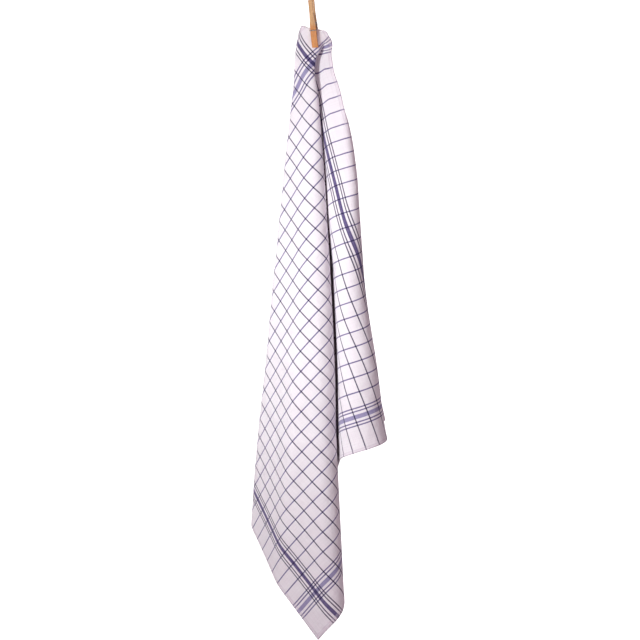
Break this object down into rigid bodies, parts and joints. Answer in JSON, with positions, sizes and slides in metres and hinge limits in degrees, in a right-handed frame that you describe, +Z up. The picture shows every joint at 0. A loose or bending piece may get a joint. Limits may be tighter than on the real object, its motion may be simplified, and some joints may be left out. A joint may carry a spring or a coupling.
{
  "type": "tea towel with clothes peg",
  "caption": "Checked cotton tea towel hanging in long folds by one corner, which is folded over and held in the jaws of a wooden clothes peg.",
  "frame": {"origin": "middle of the towel's folded top edge, between the jaws of the peg", "axes": "+Z up, -Y the front, +X to the right seen from the front"},
  "size_m": [0.2067, 0.2607, 0.9689],
  "materials": {
    "cotton": "plain weave, white with a blue windowpane check",
    "beech": "bare, lightly sanded",
    "spring_steel": "drawn wire"
  },
  "bodies": {
    "root": {"towel": "cotton", "peg_leg_front": "beech", "peg_leg_back": "beech", "peg_spring": "spring_steel"}
  },
  "joints": []
}
